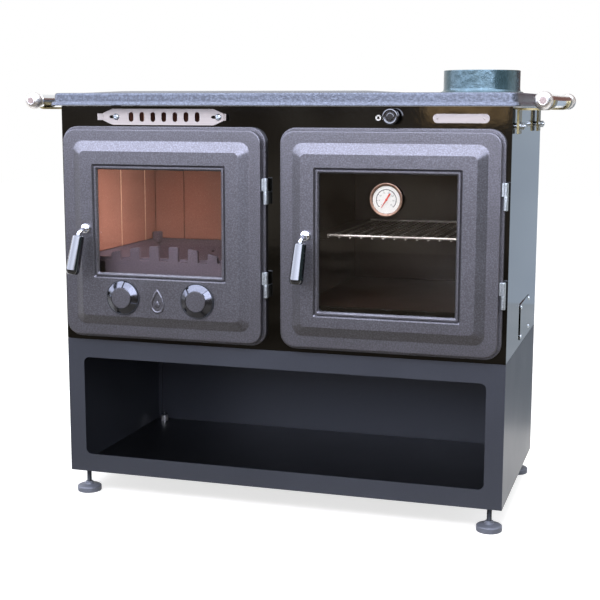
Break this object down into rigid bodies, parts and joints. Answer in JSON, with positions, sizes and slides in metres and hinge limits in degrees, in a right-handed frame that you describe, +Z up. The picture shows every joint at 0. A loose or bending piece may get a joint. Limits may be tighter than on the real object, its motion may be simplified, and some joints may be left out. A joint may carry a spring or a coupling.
{
  "type": "wood-burning cookstove",
  "caption": "Wood-burning cookstove: glazed firebox and oven doors, cast hob with flue collar, side rails, thermometer and an open log store under the body.",
  "frame": {"origin": "on the floor, centre of the bounding box seen from above", "axes": "+X to the right of someone facing the doors, +Y from the doors to the back, +Z up"},
  "size_m": [1.044, 0.5678, 0.8773],
  "materials": {
    "slate_paint": "satin slate-grey powder coat",
    "grey_plastic": "matt",
    "black_enamel": "high-gloss black enamel",
    "hob_iron": "satin, lightly textured casting",
    "collar_enamel": "semi-gloss enamel",
    "chrome": "polished",
    "yellow_zinc": "yellow-passivated zinc plate",
    "door_iron": "textured casting with a satin stove paint",
    "door_glass": "clear heat-proof glass",
    "black_grip": "glossy black",
    "stainless": "stainless steel",
    "needle_red": "red",
    "oven_enamel": "dark brown enamel",
    "sheet_steel": "bare sheet steel",
    "firebrick": "matt fired clay",
    "fire_iron": "bare casting"
  },
  "bodies": {
    "stove": {"base_front": "slate_paint", "base_side_left": "slate_paint", "base_side_right": "slate_paint", "base_back": "slate_paint", "base_floor": "slate_paint", "front_panel": "black_enamel", "side_panel_left": "black_enamel", "side_panel_right": "black_enamel", "back_panel": "black_enamel", "body_floor": "black_enamel", "cleaning_hatch": "black_enamel", "hob_plate": "hob_iron", "flue_collar": "collar_enamel", "rail_left": "chrome", "rail_right": "chrome", "rail_end_front_left": "chrome", "rail_end_front_right": "chrome", "rail_end_rear_left": "chrome", "rail_end_rear_right": "chrome", "oven_rack": "chrome", "firebox_hinge_low_fixed": "chrome", "firebox_hinge_high_fixed": "chrome", "oven_hinge_low_fixed": "chrome", "oven_hinge_high_fixed": "chrome", "rail_bracket_front_left": "yellow_zinc", "rail_bracket_front_right": "yellow_zinc", "rail_bracket_rear_left": "yellow_zinc", "rail_bracket_rear_right": "yellow_zinc", "firebox_door_frame": "door_iron", "oven_door_frame": "door_iron", "oven_liner": "oven_enamel", "firebox_shell": "sheet_steel", "ash_pan": "sheet_steel", "firebrick_lining": "firebrick", "fire_grate": "fire_iron", "log_fence": "fire_iron"},
    "firebox_leaf": {"firebox_door": "door_iron", "firebox_glass": "door_glass", "firebox_hinge_low_moving": "chrome", "firebox_hinge_high_moving": "chrome"},
    "oven_leaf": {"oven_door": "door_iron", "oven_glass": "door_glass", "oven_hinge_low_moving": "chrome", "oven_hinge_high_moving": "chrome", "thermometer_case": "stainless"},
    "firebox_latch": {"firebox_handle": "chrome", "firebox_grip": "black_grip"},
    "oven_latch": {"oven_handle": "chrome", "oven_grip": "black_grip"},
    "left_knob": {"left_air_knob": "black_grip"},
    "right_knob": {"right_air_knob": "black_grip"},
    "slider": {"air_slider": "stainless"},
    "damper": {"damper_pull": "black_enamel"},
    "needle": {"thermometer_needle": "needle_red"},
    "ring": {"hob_ring": "hob_iron"},
    "lid": {"hob_lid": "hob_iron"},
    "foot_front_left_screw": {"foot_front_left": "grey_plastic"},
    "foot_front_right_screw": {"foot_front_right": "grey_plastic"},
    "foot_rear_left_screw": {"foot_rear_left": "grey_plastic"},
    "foot_rear_right_screw": {"foot_rear_right": "grey_plastic"}
  },
  "joints": [
    {"name": "firebox_door_hinge", "type": "hinge", "parent": "stove", "child": "firebox_leaf", "pos_m": [-0.014, -0.20763, 0.552], "axis": [0, 0, 1], "range_deg": [0, 95]},
    {"name": "oven_door_hinge", "type": "hinge", "parent": "stove", "child": "oven_leaf", "pos_m": [0.4431, -0.20763, 0.552], "axis": [0, 0, 1], "range_deg": [0, 105]},
    {"name": "firebox_latch_turn", "type": "hinge", "parent": "firebox_leaf", "child": "firebox_latch", "pos_m": [-0.3846, -0.22813, 0.5627], "axis": [0, 1, 0], "range_deg": [-45, 65]},
    {"name": "oven_latch_turn", "type": "hinge", "parent": "oven_leaf", "child": "oven_latch", "pos_m": [0.0725, -0.22813, 0.5627], "axis": [0, 1, 0], "range_deg": [-45, 65]},
    {"name": "left_knob_turn", "type": "hinge", "parent": "firebox_leaf", "child": "left_knob", "pos_m": [-0.307, -0.22813, 0.427], "axis": [0, 1, 0], "range_deg": [0, 540]},
    {"name": "right_knob_turn", "type": "hinge", "parent": "firebox_leaf", "child": "right_knob", "pos_m": [-0.1484, -0.22813, 0.427], "axis": [0, 1, 0], "range_deg": [0, 540]},
    {"name": "air_slide", "type": "slide", "parent": "stove", "child": "slider", "axis": [1, 0, 0], "range_m": [0, 0.0115]},
    {"name": "damper_pull_out", "type": "slide", "parent": "stove", "child": "damper", "axis": [0, -1, 0], "range_m": [0, 0.06]},
    {"name": "needle_turn", "type": "hinge", "parent": "oven_leaf", "child": "needle", "pos_m": [0.2274, -0.22813, 0.634], "axis": [0, 1, 0], "range_deg": [-165, 105], "stiffness_Nm_per_rad": 0.005},
    {"name": "ring_lift", "type": "slide", "parent": "stove", "child": "ring", "axis": [0, 0, 1], "range_m": [0, 0.1]},
    {"name": "lid_lift", "type": "slide", "parent": "ring", "child": "lid", "axis": [0, 0, 1], "range_m": [0, 0.1]},
    {"name": "foot_front_left_level", "type": "slide", "parent": "stove", "child": "foot_front_left_screw", "axis": [0, 0, -1], "range_m": [0, 0.02]},
    {"name": "foot_front_right_level", "type": "slide", "parent": "stove", "child": "foot_front_right_screw", "axis": [0, 0, -1], "range_m": [0, 0.02]},
    {"name": "foot_rear_left_level", "type": "slide", "parent": "stove", "child": "foot_rear_left_screw", "axis": [0, 0, -1], "range_m": [0, 0.02]},
    {"name": "foot_rear_right_level", "type": "slide", "parent": "stove", "child": "foot_rear_right_screw", "axis": [0, 0, -1], "range_m": [0, 0.02]}
  ]
}
